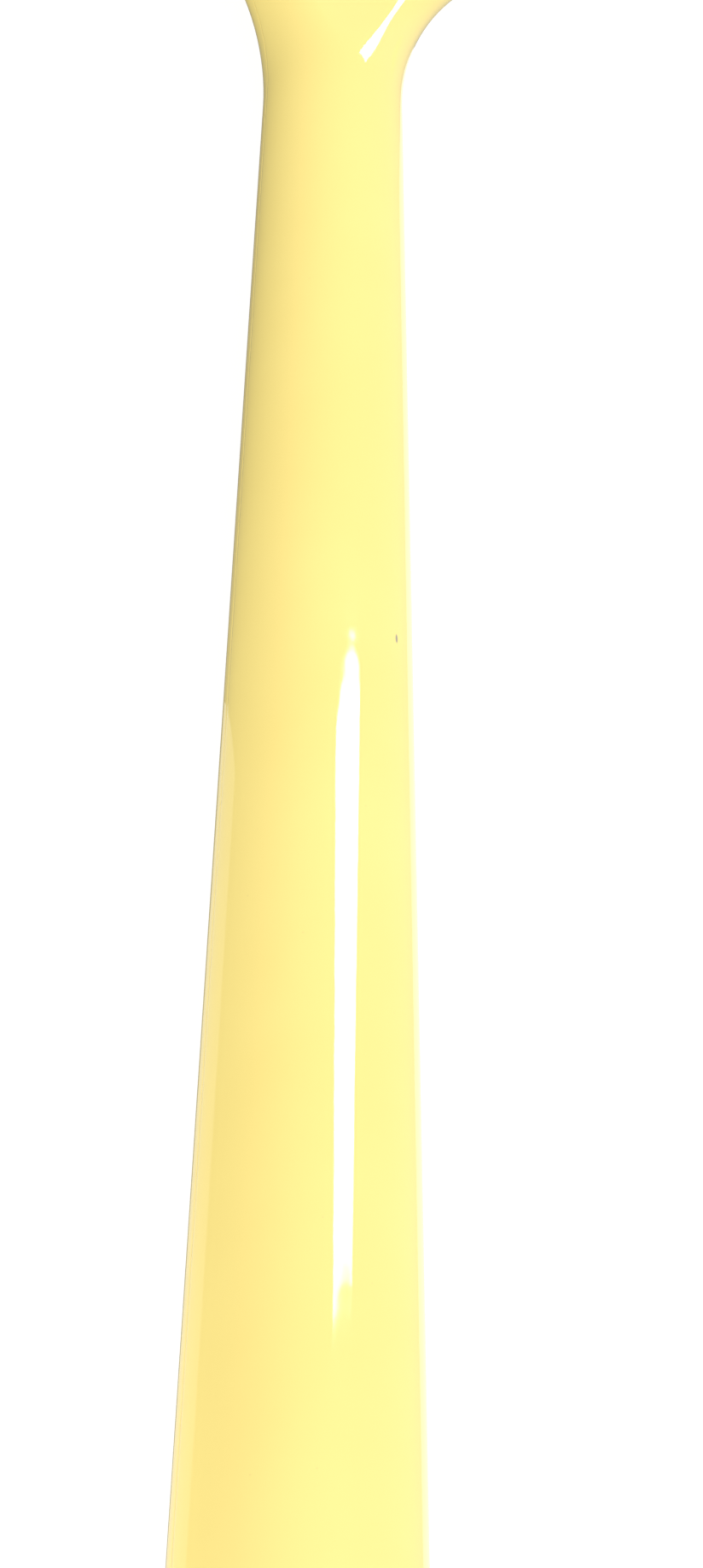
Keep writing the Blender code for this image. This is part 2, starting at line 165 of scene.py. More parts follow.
def solve(function, low, high):
    """Root of a function that changes sign once between low and high."""
    low_is_positive = function(low) > 0
    for _ in range(HALVINGS):
        middle = (low + high) / 2
        if (function(middle) > 0) == low_is_positive:
            low = middle
        else:
            high = middle
    return (low + high) / 2


def hoop_point(angle, offset):
    """Point of the hoop's oval at an angle from its lowest point, moved outwards by offset."""
    normal = Vector((math.sin(angle) / HOOP_HALF_WIDTH, -math.cos(angle) / HOOP_HALF_LENGTH)).normalized()
    centre_line = Vector((HOOP_HALF_WIDTH * math.sin(angle),
                          HOOP_CENTRE_Y - HOOP_HALF_LENGTH * math.cos(angle)))
    return centre_line + offset * normal


def handle_radius(y):
    return BUTT_RADIUS - HANDLE_TAPER * y


def fillet_rise(angle):
    """How far up the throat's fillet its slope equals that of the jaw's oval at an angle."""
    slope = HOOP_HALF_WIDTH * math.cos(angle) / (HOOP_HALF_LENGTH * math.sin(angle)) + HANDLE_TAPER
    return THROAT_FILLET_RADIUS * slope / math.hypot(1.0, slope)


def fillet_bulge(rise):
    return THROAT_FILLET_RADIUS - math.sqrt(THROAT_FILLET_RADIUS ** 2 - rise ** 2)


def fillet_mismatch(angle):
    x, y = hoop_point(angle, JAW_OFFSET)
    return handle_radius(y) + fillet_bulge(fillet_rise(angle)) - x


JOIN_ANGLE = solve(fillet_mismatch, 0.05, 1.2)
JOIN_Y = hoop_point(JOIN_ANGLE, JAW_OFFSET).y
FILLET_START = JOIN_Y - fillet_rise(JOIN_ANGLE)
EAR_TOP = hoop_point(JAW_EAR_ANGLE, -JAW_COVER).y
LOFT_END = EAR_TOP + JAW_WALL


def half_width(y):
    """Half width of the handle and throat: a straight taper, a fillet, then the jaw's oval."""
    if y <= FILLET_START:
        return handle_radius(y)
    if y <= JOIN_Y:
        return handle_radius(y) + fillet_bulge(y - FILLET_START)
    angle = solve(lambda trial: hoop_point(trial, JAW_OFFSET).y - y, JOIN_ANGLE, math.pi / 2)
    return hoop_point(angle, JAW_OFFSET).x


def half_thickness(y):
    """Half thickness: round along the handle, then eased to the flat throat and jaws."""
    share = min(max((y - FILLET_START) / THROAT_EASE_LENGTH, 0.0), 1.0)
    ease = share * share * (3 - 2 * share)
    return handle_radius(y) * (1 - ease) + JAW_HALF_THICKNESS * ease


def half_ring(y, side, inset=0.0):
    """Section of one half shell, from the right seam over its crown to the left, with small rounded edges."""
    width = half_width(y) - inset
    thickness = half_thickness(y) - inset
    flat = width - thickness
    low = SEAM_HALF_GAP
    turn_in = SEAM_EDGE * (1 - math.sqrt(0.5))
    right = [(width - SEAM_EDGE, low), (width - turn_in, low + turn_in), (width, low + SEAM_EDGE)]
    for step in range(CROWN_POINTS):
        angle = (step + FIRST_CROWN_POINT) / (CROWN_POINTS + SPARE_CROWN_POINTS) * math.pi / 2
        share = min((math.pi / 2 - angle) / FLAT_BLEND, 1.0)
        x = flat * math.sin(share * math.pi / 2) + thickness * math.cos(angle)
        right.append((x, thickness * math.sin(angle)))
    left = [(-x, z) for x, z in reversed(right)]
    return [Vector((x, y, side * z)) for x, z in right + left]


def mesh_from(name, build):
    bmesh.ops.recalc_face_normals(build, faces=build.faces)
    mesh = bpy.data.meshes.new(name)
    build.to_mesh(mesh)
    build.free()
    return mesh


def loft_mesh(name, rings, closed=False):
    """Skin over rings of equal counts, closed on itself or capped at both ends."""
    build = bmesh.new()
    grid = [[build.verts.new(point) for point in ring] for ring in rings]
    pairs = list(zip(grid, grid[1:]))
    if closed:
        pairs.append((grid[-1], grid[0]))
    else:
        build.faces.new(grid[0])
        build.faces.new(grid[-1])
    count = len(rings[0])
    for lower, upper in pairs:
        for step in range(count):
            after = (step + 1) % count
            build.faces.new((lower[step], lower[after], upper[after], upper[step]))
    return mesh_from(name, build)


def turned_mesh(name, profile, steps):
    """Solid of revolution about Z, from a profile of (radius, height) that starts and ends on the axis."""
    build = bmesh.new()
    rings = []
    for radius, height in profile[1:-1]:
        ring = []
        for step in range(steps):
            angle = 2 * math.pi * step / steps
            ring.append(build.verts.new((radius * math.cos(angle), radius * math.sin(angle), height)))
        rings.append(ring)
    first = build.verts.new((0.0, 0.0, profile[0][1]))
    last = build.verts.new((0.0, 0.0, profile[-1][1]))
    for step in range(steps):
        after = (step + 1) % steps
        build.faces.new((first, rings[0][step], rings[0][after]))
        build.faces.new((last, rings[-1][after], rings[-1][step]))
        for lower, upper in zip(rings, rings[1:]):
            build.faces.new((lower[step], upper[step], upper[after], lower[after]))
    return mesh_from(name, build)


def arc(centre, radius, start, end, steps):
    """Points of (across, height) on an arc between two angles in degrees, both ends included."""
    points = []
    for step in range(steps + 1):
        angle = math.radians(start + (end - start) * step / steps)
        points.append((centre[0] + radius * math.cos(angle), centre[1] + radius * math.sin(angle)))
    return points


def add_piece(name, data, material, node):
    """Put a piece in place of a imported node, riding on the racket."""
    piece = bpy.data.objects.new(name, data)
    bpy.context.scene.collection.objects.link(piece)
    piece.data.materials.append(material)
    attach(piece, "root")
    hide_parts(node)
    return piece


def cut(piece, meshes):
    """Cut solids out of a piece for good, and leave no cutter behind."""
    cutters = []
    for mesh in meshes:
        cutter = bpy.data.objects.new("cutter", mesh)
        bpy.context.scene.collection.objects.link(cutter)
        boolean = piece.modifiers.new("cut", "BOOLEAN")
        boolean.operation = "DIFFERENCE"
        boolean.object = cutter
        cutters.append(cutter)
    graph = bpy.context.evaluated_depsgraph_get()
    whole = bpy.data.meshes.new_from_object(piece.evaluated_get(graph))
    piece.modifiers.clear()
    piece.data = whole
    for cutter in cutters:
        bpy.data.objects.remove(cutter, do_unlink=True)


def smooth(piece, angle):
    """Shade a piece smooth, apart from edges sharper than an angle in degrees."""
    piece.data.shade_smooth()
    piece.data.set_sharp_from_angle(angle=math.radians(angle))


def lay_down(piece):
    """Move a finished piece from the racket's axes to where the racket lies."""
    piece.data.transform(PLACE)


# Values of the materials
NOISE_BAND = (0.35, 0.65)
WIDE_BAND = (0.3, 0.7)

PLASTIC_LIGHT = (0.945, 0.769, 0.256)
PLASTIC_DEEP = (0.93, 0.750, 0.243)
PLASTIC_ROUGHNESS = (0.025, 0.05)
PLASTIC_IOR = 1.5
SWIRL_SCALE = 38.0
HAZE_SCALE = 120.0
HAZE_BAND = (0.35, 0.7)
RIPPLE_SCALE = 160.0
RIPPLE_DEPTH = 0.00004
RIPPLE_STRENGTH = 0.35
DUST = (0.50, 0.42, 0.20)
PIT_SCALE = 210.0
PIT_RADII = (0.015, 0.035)
PIT_SHADE = 0.12
PIT_DEPTH = 0.00003
PIT_STRENGTH = 0.4
SCUFF = (0.36, 0.33, 0.24)
SCUFF_PLACE = (0.00589, 0.13210, 0.00857)
SCUFF_SIZE = (0.00022, 0.00075, 0.0006)
SCUFF_CORE = 0.55

NYLON_CLEAR = (0.82, 0.82, 0.78)
NYLON_DULL = (0.74, 0.74, 0.68)
NYLON_ROUGHNESS = (0.22, 0.4)
NYLON_TRANSMISSION = 0.25
NYLON_IOR = 1.53
CLOUD_SCALE = 300.0
STREAK_SCALE = 1400.0
STREAK_DEPTH = 0.00003
STREAK_STRENGTH = 0.4

STEEL_LIGHT = (0.58, 0.58, 0.59)
STEEL_DARK = (0.45, 0.46, 0.48)
STEEL_ROUGHNESS = (0.24, 0.4)
MOTTLE_SCALE = 900.0
MARK_SCALE = 1500.0
MARK_DISTORTION = 1.0
MARK_DEPTH = 0.00002
MARK_STRENGTH = 0.5

FLOOR_LIGHT = (0.20, 0.20, 0.20)
FLOOR_DARK = (0.18, 0.18, 0.18)
FLOOR_SCALE = 3.0
FLOOR_ROUGHNESS = 0.9
FLOOR_GLOW = 0.9


# Materials

def new_material(name):
    material = bpy.data.materials.new(name)
    material.use_nodes = True
    return material, material.node_tree.nodes, material.node_tree.links


def noise(nodes, links, place, scale, detail):
    texture = nodes.new("ShaderNodeTexNoise")
    texture.inputs["Scale"].default_value = scale
    texture.inputs["Detail"].default_value = detail
    links.new(place, texture.inputs["Vector"])
    return texture.outputs["Fac"]


def spread(nodes, links, value, low, high, to_low, to_high):
    """Map a texture's range to another, clamped."""
    ramp = nodes.new("ShaderNodeMapRange")
    ramp.inputs["From Min"].default_value = low
    ramp.inputs["From Max"].default_value = high
    ramp.inputs["To Min"].default_value = to_low
    ramp.inputs["To Max"].default_value = to_high
    links.new(value, ramp.inputs["Value"])
    return ramp.outputs["Result"]


def mix_colour(nodes, links, share, first, second):
    """Mix of two colours, each a socket or a plain colour, by a texture's share."""
    blend = nodes.new("ShaderNodeMix")
    blend.data_type = "RGBA"
    links.new(share, blend.inputs["Factor"])
    for name, colour in (("A", first), ("B", second)):
        socket = [entry for entry in blend.inputs if entry.name == name and entry.type == "RGBA"][0]
        if isinstance(colour, bpy.types.NodeSocket):
            links.new(colour, socket)
        else:
            socket.default_value = (*colour, 1.0)
    return [entry for entry in blend.outputs if entry.type == "RGBA"][0]


def bump(nodes, links, height, distance, strength, under=None):
    relief = nodes.new("ShaderNodeBump")
    relief.inputs["Distance"].default_value = distance
    relief.inputs["Strength"].default_value = strength
    links.new(height, relief.inputs["Height"])
    if under:
        links.new(under, relief.inputs["Normal"])
    return relief.outputs["Normal"]


def spot(nodes, links, place, centre, size, core):
    """One within a core share of an ellipsoid, falling to nothing at its edge."""
    shift = nodes.new("ShaderNodeMapping")
    shift.vector_type = "TEXTURE"
    shift.inputs["Location"].default_value = centre
    shift.inputs["Scale"].default_value = size
    links.new(place, shift.inputs["Vector"])
    ball = nodes.new("ShaderNodeVectorMath")
    ball.operation = "LENGTH"
    links.new(shift.outputs["Vector"], ball.inputs[0])
    return spread(nodes, links, ball.outputs["Value"], core, 1.0, 1.0, 0.0)


def plastic_material():
    """High-gloss moulded plastic: slight shade swirls, a faint ripple, fine dust pits and one small scuff."""
    material, nodes, links = new_material("yellow_plastic_gloss")
    shader = nodes["Principled BSDF"]
    place = nodes.new("ShaderNodeTexCoord").outputs["Object"]
    swirl = spread(nodes, links, noise(nodes, links, place, SWIRL_SCALE, detail=3.0), *NOISE_BAND, 0.0, 1.0)
    colour = mix_colour(nodes, links, swirl, PLASTIC_LIGHT, PLASTIC_DEEP)
    cells = nodes.new("ShaderNodeTexVoronoi")
    cells.inputs["Scale"].default_value = PIT_SCALE
    links.new(place, cells.inputs["Vector"])
    pits = spread(nodes, links, cells.outputs["Distance"], *PIT_RADII, PIT_SHADE, 0.0)
    colour = mix_colour(nodes, links, pits, colour, DUST)
    scuff = spot(nodes, links, place, PLACE @ Vector(SCUFF_PLACE), SCUFF_SIZE, SCUFF_CORE)
    colour = mix_colour(nodes, links, scuff, colour, SCUFF)
    links.new(colour, shader.inputs["Base Color"])
    haze = noise(nodes, links, place, HAZE_SCALE, detail=4.0)
    links.new(spread(nodes, links, haze, *HAZE_BAND, *PLASTIC_ROUGHNESS), shader.inputs["Roughness"])
    waves = noise(nodes, links, place, RIPPLE_SCALE, detail=1.0)
    ripple = bump(nodes, links, waves, RIPPLE_DEPTH, RIPPLE_STRENGTH)
    links.new(bump(nodes, links, pits, PIT_DEPTH, PIT_STRENGTH, ripple), shader.inputs["Normal"])
    shader.inputs["IOR"].default_value = PLASTIC_IOR
    return material


def nylon_material():
    """Drawn nylon: milky, slightly see-through, with fine streaks and dulled patches."""
    material, nodes, links = new_material("white_nylon_string")
    shader = nodes["Principled BSDF"]
    place = nodes.new("ShaderNodeTexCoord").outputs["Object"]
    cloud = spread(nodes, links, noise(nodes, links, place, CLOUD_SCALE, detail=3.0), *NOISE_BAND, 0.0, 1.0)
    links.new(mix_colour(nodes, links, cloud, NYLON_CLEAR, NYLON_DULL), shader.inputs["Base Color"])
    streak = noise(nodes, links, place, STREAK_SCALE, detail=2.0)
    links.new(spread(nodes, links, streak, *WIDE_BAND, *NYLON_ROUGHNESS), shader.inputs["Roughness"])
    links.new(bump(nodes, links, streak, STREAK_DEPTH, STREAK_STRENGTH), shader.inputs["Normal"])
    shader.inputs["Transmission Weight"].default_value = NYLON_TRANSMISSION
    shader.inputs["IOR"].default_value = NYLON_IOR
    return material


def steel_material():
    """Zinc-plated steel: cool grey with a mottled plating and fine turning marks."""
    material, nodes, links = new_material("plated_steel_screw")
    shader = nodes["Principled BSDF"]
    place = nodes.new("ShaderNodeTexCoord").outputs["Object"]
    mottle = spread(nodes, links, noise(nodes, links, place, MOTTLE_SCALE, detail=4.0), *NOISE_BAND, 0.0, 1.0)
    links.new(mix_colour(nodes, links, mottle, STEEL_LIGHT, STEEL_DARK), shader.inputs["Base Color"])
    links.new(spread(nodes, links, mottle, 0.0, 1.0, *STEEL_ROUGHNESS), shader.inputs["Roughness"])
    marks = nodes.new("ShaderNodeTexWave")
    marks.wave_type = "RINGS"
    marks.rings_direction = "Z"
    marks.inputs["Scale"].default_value = MARK_SCALE
    marks.inputs["Distortion"].default_value = MARK_DISTORTION
    links.new(place, marks.inputs["Vector"])
    links.new(bump(nodes, links, marks.outputs["Fac"], MARK_DEPTH, MARK_STRENGTH), shader.inputs["Normal"])
    shader.inputs["Metallic"].default_value = 1.0
    return material


def floor_material():
    """Pale matt sweep that glows by itself."""
    material, nodes, links = new_material("pale_floor")
    shader = nodes["Principled BSDF"]
    place = nodes.new("ShaderNodeTexCoord").outputs["Object"]
    tone = spread(nodes, links, noise(nodes, links, place, FLOOR_SCALE, detail=2.0), *WIDE_BAND, 0.0, 1.0)
    links.new(mix_colour(nodes, links, tone, FLOOR_LIGHT, FLOOR_DARK), shader.inputs["Base Color"])
    shader.inputs["Roughness"].default_value = FLOOR_ROUGHNESS
    shader.inputs["Specular IOR Level"].default_value = 0.0
    shader.inputs["Emission Color"].default_value = (1.0, 1.0, 1.0, 1.0)
    shader.inputs["Emission Strength"].default_value = FLOOR_GLOW
    return material


# Handle, throat and jaws

def loft_stations():
    """Places along Y where the handle's section is drawn."""
    start = SHELL_START + SHELL_END_EDGE
    stations = [start + (FILLET_START - start) * step / HANDLE_STEPS for step in range(HANDLE_STEPS)]
    join_turn = math.asin((JOIN_Y - FILLET_START) / THROAT_FILLET_RADIUS)
    for step in range(FILLET_STEPS):
        stations.append(FILLET_START + THROAT_FILLET_RADIUS * math.sin(join_turn * step / FILLET_STEPS))
    for step in range(JAW_STEPS + 1):
        stations.append(JOIN_Y + (LOFT_END - JOIN_Y) * step / JAW_STEPS)
    return stations


def rounded_profile(half_depth, half_thick, corner):
    """Closed section of (offset, height) with round corners."""
    points = []
    for quarter, (side, up) in enumerate(((1, 1), (-1, 1), (-1, -1), (1, -1))):
        centre = (side * (half_depth - corner), up * (half_thick - corner))
        points += arc(centre, corner, quarter * 90, quarter * 90 + 90, CORNER_STEPS)
    return points


def swept_hoop(name, profile):
    rings = []
    for step in range(HOOP_STEPS):
        angle = 2 * math.pi * step / HOOP_STEPS
        rings.append([Vector((*hoop_point(angle, offset), height)) for offset, height in profile])
    return loft_mesh(name, rings, closed=True)


def bed_mesh():
    """Everything inside the jaws' lips and past the square ends of their ears."""
    outline = []
    for step in range(LIP_STEPS + 1):
        angle = JAW_EAR_ANGLE * (2 * step / LIP_STEPS - 1)
        outline.append(hoop_point(angle, -JAW_COVER))
    ear_end = hoop_point(JAW_EAR_ANGLE, EAR_CUT_OFFSET)
    outline += [ear_end, Vector((FAR, ear_end.y)), Vector((FAR, TOTAL_LENGTH + FAR))]
    outline += [Vector((-point.x, point.y)) for point in reversed(outline[-3:])]
    rings = []
    for height in (-BED_HALF_HEIGHT, BED_HALF_HEIGHT):
        rings.append([Vector((point.x, point.y, height)) for point in outline])
    return loft_mesh("bed", rings)


def channel_mesh():
    return swept_hoop("channel", rounded_profile(
        HOOP_HALF_DEPTH + CLEARANCE, HOOP_HALF_THICKNESS + CLEARANCE, HOOP_CORNER_RADIUS))


def bore_meshes():
    """Hollows of the handle, which leave the ribs that take the screws."""
    low_rib = SCREW_PLACES["butt"]
    high_rib = SCREW_PLACES["middle"]
    spans = ((0.0, low_rib - RIB_HALF_THICKNESS),
             (low_rib + RIB_HALF_THICKNESS, high_rib - RIB_HALF_THICKNESS),
             (high_rib + RIB_HALF_THICKNESS, THROAT_BORE_END))
    turns = [2 * math.pi * step / TURNED_STEPS for step in range(TURNED_STEPS)]
    bores = []
    for span in spans:
        rings = []
        for y in span:
            radius = handle_radius(y) - SHELL_WALL
            rings.append([Vector((radius * math.cos(turn), y, radius * math.sin(turn))) for turn in turns])
        bores.append(loft_mesh("bore", rings))
    return bores


def well_mesh(y):
    """Screw well in the rear, with a stepped seat."""
    hole_end = SCREW_TIP_HEIGHT + 2 * CLEARANCE
    hole_radius = SCREW_SHANK_RADIUS + CLEARANCE
    profile = [(0.0, hole_end), (hole_radius, hole_end),
               (hole_radius, -SCREW_SEAT_DEPTH), (SCREW_WELL_RADIUS, -SCREW_SEAT_DEPTH),
               (SCREW_WELL_RADIUS, -2 * BUTT_RADIUS), (0.0, -2 * BUTT_RADIUS)]
    mesh = turned_mesh("well", profile, TURNED_STEPS // 2)
    mesh.transform(Matrix.Translation((0.0, y, 0.0)))
    return mesh


def make_shells(plastic):
    for side, facing in (("front", 1), ("rear", -1)):
        stations = loft_stations()
        rings = [half_ring(SHELL_START, facing, SHELL_END_EDGE)]
        rings += [half_ring(y, facing) for y in stations]
        shell = add_piece(f"{side}_moulding", loft_mesh(side, rings), plastic,
                          f"handle_{side}_shell")
        wells = [well_mesh(y) for y in SCREW_PLACES.values()]
        cut(shell, [bed_mesh(), channel_mesh()] + bore_meshes() + wells)
        smooth(shell, SHELL_SMOOTH)
        lay_down(shell)


# Hoop

def main_places():
    return [(step - (MAIN_COUNT - 1) / 2) * MAIN_PITCH for step in range(MAIN_COUNT)]


def cross_places():
    return [(step - (CROSS_COUNT - 1) / 2) * CROSS_PITCH for step in range(CROSS_COUNT)]


def hoop_profile():
    """Section of the hoop with its string groove, whose edges are eased."""
    floor = HOOP_HALF_DEPTH - GROOVE_DEPTH
    edge = (HOOP_HALF_DEPTH - GROOVE_EDGE, GROOVE_HALF_WIDTH + GROOVE_EDGE)
    upper = [(floor, GROOVE_HALF_WIDTH - GROOVE_EDGE), (floor + GROOVE_EDGE, GROOVE_HALF_WIDTH)]
    upper += arc(edge, GROOVE_EDGE, -90, 0, 3)
    lower = [(offset, -height) for offset, height in reversed(upper)]
    return lower + upper + rounded_profile(HOOP_HALF_DEPTH, HOOP_HALF_THICKNESS, HOOP_CORNER_RADIUS)


def make_hoop(plastic):
    ring = swept_hoop("hoop_ring", hoop_profile())
    hoop = add_piece("hoop_moulding", ring, plastic, "hoop")
    build = bmesh.new()
    along_y = Matrix.Rotation(math.pi / 2, 4, "X")
    along_x = Matrix.Rotation(math.pi / 2, 4, "Y")
    drills = [((x, HOOP_CENTRE_Y, HOLE_ROW_HEIGHT), along_y, HOOP_HALF_LENGTH) for x in main_places()]
    drills += [((0.0, HOOP_CENTRE_Y + y, -HOLE_ROW_HEIGHT), along_x, HOOP_HALF_WIDTH) for y in cross_places()]
    for centre, facing, reach in drills:
        bmesh.ops.create_cone(build, cap_ends=True, segments=HOLE_SIDES, radius1=STRING_HOLE_RADIUS,
                              radius2=STRING_HOLE_RADIUS, depth=2 * (reach + 2 * HOOP_HALF_DEPTH),
                              matrix=Matrix.Translation(centre) @ facing)
    cut(hoop, [mesh_from("string_holes", build)])
    smooth(hoop, HOOP_SMOOTH)
    lay_down(hoop)


# Strings

def main_angle(place, offset):
    """Angle below the hoop's middle where a main at x = place meets an offset of the oval."""
    angle = solve(lambda trial: hoop_point(trial, offset).x - abs(place), 0.0, math.pi / 2)
    return math.copysign(angle, place)


def cross_angle(place, offset):
    """Angle on the right of the hoop where a cross at place from its middle meets an offset of the oval."""
    return solve(lambda trial: hoop_point(trial, offset).y - HOOP_CENTRE_Y - place, 0.0, math.pi)


def bend(before, corner, after):
    """Points that round a corner between two directions."""
    arrive = (corner - before).normalized()
    leave = (after - corner).normalized()
    reach = STRING_BEND * math.tan(arrive.angle(leave) / 2)
    start = corner - arrive * reach
    end = corner + leave * reach
    points = []
    for step in range(BEND_STEPS + 1):
        share = step / BEND_STEPS
        points.append(start.lerp(corner, share).lerp(corner.lerp(end, share), share))
    return points


def groove_run(start, end, height):
    """Points along the groove between two angles, both ends included."""
    angles = [start + (end - start) * step / LOOP_STEPS for step in range(LOOP_STEPS + 1)]
    return [Vector((*hoop_point(angle, GROOVE_RUN_OFFSET), height)) for angle in angles]


def weave(points):
    """Ease a chord over and under between its crossings."""
    eased = []
    for first, second in zip(points, points[1:]):
        for step in range(WEAVE_STEPS):
            share = step / WEAVE_STEPS
            point = first.lerp(second, share)
            point.z = first.z + (second.z - first.z) * (1 - math.cos(math.pi * share)) / 2
            eased.append(point)
    return eased + [points[-1]]


def string_path(chords, height):
    """One unbroken path: up one chord, along the groove, down the next.

    A chord is its start and end angle in the groove and its points between the two holes, from start to end.
    """
    path = []
    for number, (start, end, inner) in enumerate(chords):
        if number % 2:
            start, end, inner = end, start, inner[::-1]
        if number == 0:
            tail = groove_run(start - STRING_TAIL_ANGLE, start, height)
            path += tail[:-1] + bend(tail[-2], tail[-1], inner[0])
        path += inner
        if number + 1 < len(chords):
            following = chords[number + 1]
            next_inner = following[2] if number % 2 else following[2][::-1]
            run = groove_run(end, following[0] if number % 2 else following[1], height)
            path += bend(inner[-1], run[0], run[1]) + run[1:-1] + bend(run[-2], run[-1], next_inner[0])
        else:
            sweep = STRING_TAIL_ANGLE if number % 2 else -STRING_TAIL_ANGLE
            tail = groove_run(end, end + sweep, height)
            path += bend(inner[-1], tail[0], tail[1]) + tail[1:]
    return path


def main_chords():
    chords = []
    inside = -HOOP_HALF_DEPTH - CLEARANCE
    for number, x in enumerate(main_places()):
        low = main_angle(x, GROOVE_RUN_OFFSET)
        edge = HOOP_CENTRE_Y - hoop_point(main_angle(x, inside), inside).y
        inner = [Vector((x, HOOP_CENTRE_Y - edge, HOLE_ROW_HEIGHT))]
        for crossing, y in enumerate(cross_places()):
            if abs(y) < edge - WEAVE_MARGIN:
                over = 1 if (number + crossing) % 2 else -1
                inner.append(Vector((x, HOOP_CENTRE_Y + y, over * WEAVE_HEIGHT)))
        inner.append(Vector((x, HOOP_CENTRE_Y + edge, HOLE_ROW_HEIGHT)))
        chords.append((low, math.copysign(math.pi, x) - low, weave(inner)))
    return chords


def cross_chords():
    chords = []
    inside = -HOOP_HALF_DEPTH - CLEARANCE
    for number, y in enumerate(cross_places()):
        right = cross_angle(y, GROOVE_RUN_OFFSET)
        edge = hoop_point(cross_angle(y, inside), inside).x
        inner = [Vector((edge, HOOP_CENTRE_Y + y, -HOLE_ROW_HEIGHT))]
        for crossing, x in reversed(list(enumerate(main_places()))):
            if abs(x) < edge - WEAVE_MARGIN:
                over = -1 if (number + crossing) % 2 else 1
                inner.append(Vector((x, HOOP_CENTRE_Y + y, over * WEAVE_HEIGHT)))
        inner.append(Vector((-edge, HOOP_CENTRE_Y + y, -HOLE_ROW_HEIGHT)))
        chords.append((right, -right, weave(inner)))
    return chords


def knot_points(end, before):
    """Small pulled-tight stopper knot, flat against the groove, at a string's end."""
    along = (end - before).normalized()
    up_the_hoop = end.y - HOOP_CENTRE_Y
    out = Vector((end.x / HOOP_HALF_WIDTH ** 2, up_the_hoop / HOOP_HALF_LENGTH ** 2, 0.0)).normalized()
    up = out.cross(along)
    points = []
    for step in range(KNOT_STEPS):
        turn = 2 * math.pi * step / KNOT_STEPS
        a = math.sin(turn) + 2 * math.sin(2 * turn)
        b = math.cos(turn) - 2 * math.cos(2 * turn)
        points.append(end + KNOT_SCALE * (along * a + up * b - out * math.sin(3 * turn)))
    return points


def add_spline(curve, points, cyclic=False):
    spline = curve.splines.new("POLY")
    spline.points.add(len(points) - 1)
    for target, point in zip(spline.points, points):
        target.co = (*(PLACE @ point), 1.0)
    spline.use_cyclic_u = cyclic
    spline.use_smooth = True


def make_string(name, node, chords, height, nylon):
    path = string_path(chords, height)
    curve = bpy.data.curves.new(name, "CURVE")
    curve.dimensions = "3D"
    curve.bevel_depth = STRING_RADIUS
    curve.bevel_resolution = 3
    curve.use_fill_caps = True
    add_spline(curve, path)
    add_spline(curve, knot_points(path[0], path[1]), cyclic=True)
    add_spline(curve, knot_points(path[-1], path[-2]), cyclic=True)
    add_piece(name, curve, nylon, node)


# Butt cap and screws

def make_butt_cap(plastic):
    """Turned plug with a domed edge, a moulding gate mark in its face and an eased joint to the shells."""
    spigot_radius = handle_radius(CAP_SPIGOT_END) - SHELL_WALL - CLEARANCE
    profile = [(0.0, -GATE_DEPTH), (GATE_RADIUS * GATE_FLOOR_SHARE, -GATE_DEPTH),
               (GATE_RADIUS, -GATE_DEPTH * GATE_STEP_SHARE), (GATE_RADIUS * GATE_RIM_SHARE, 0.0),
               (CAP_FACE_RADIUS * FACE_RING_SHARE, 0.0)]
    edge_width = CAP_RADIUS - CAP_FACE_RADIUS
    for step in range(2 * CORNER_STEPS + 1):
        angle = step * math.pi / 4 / CORNER_STEPS
        radius = CAP_FACE_RADIUS + edge_width * math.sin(angle)
        profile.append((radius, -CAP_EDGE_DROP * (1 - math.cos(angle))))
    profile += [(CAP_RADIUS, SHELL_END_EDGE - CAP_FLANGE), (CAP_RADIUS - SHELL_END_EDGE, -CAP_FLANGE),
                (spigot_radius, -CAP_FLANGE), (spigot_radius, -CAP_SPIGOT_END), (0.0, -CAP_SPIGOT_END)]
    mesh = turned_mesh("plug", profile, TURNED_STEPS)
    mesh.transform(Matrix.Rotation(math.pi / 2, 4, "X"))
    cap = add_piece("butt_plug", mesh, plastic, "butt_cap")
    smooth(cap, CAP_SMOOTH)
    lay_down(cap)


def recess_mesh(head_end, turn):
    """One bar of the tapered cross that a driver fits, cut into a screw's head from below."""
    rings = []
    for height, share in ((head_end - CLEARANCE, 1.0), (head_end + CROSS_RECESS_DEPTH, RECESS_END_SHARE)):
        length = CROSS_RECESS_LENGTH / 2 * share
        width = CROSS_RECESS_WIDTH / 2 * (RECESS_WIDTH_KEPT + (1 - RECESS_WIDTH_KEPT) * share)
        corners = ((length, width), (-length, width), (-length, -width), (length, -width))
        rings.append([Matrix.Rotation(turn, 4, "Z") @ Vector((x, y, height)) for x, y in corners])
    return loft_mesh("recess", rings)


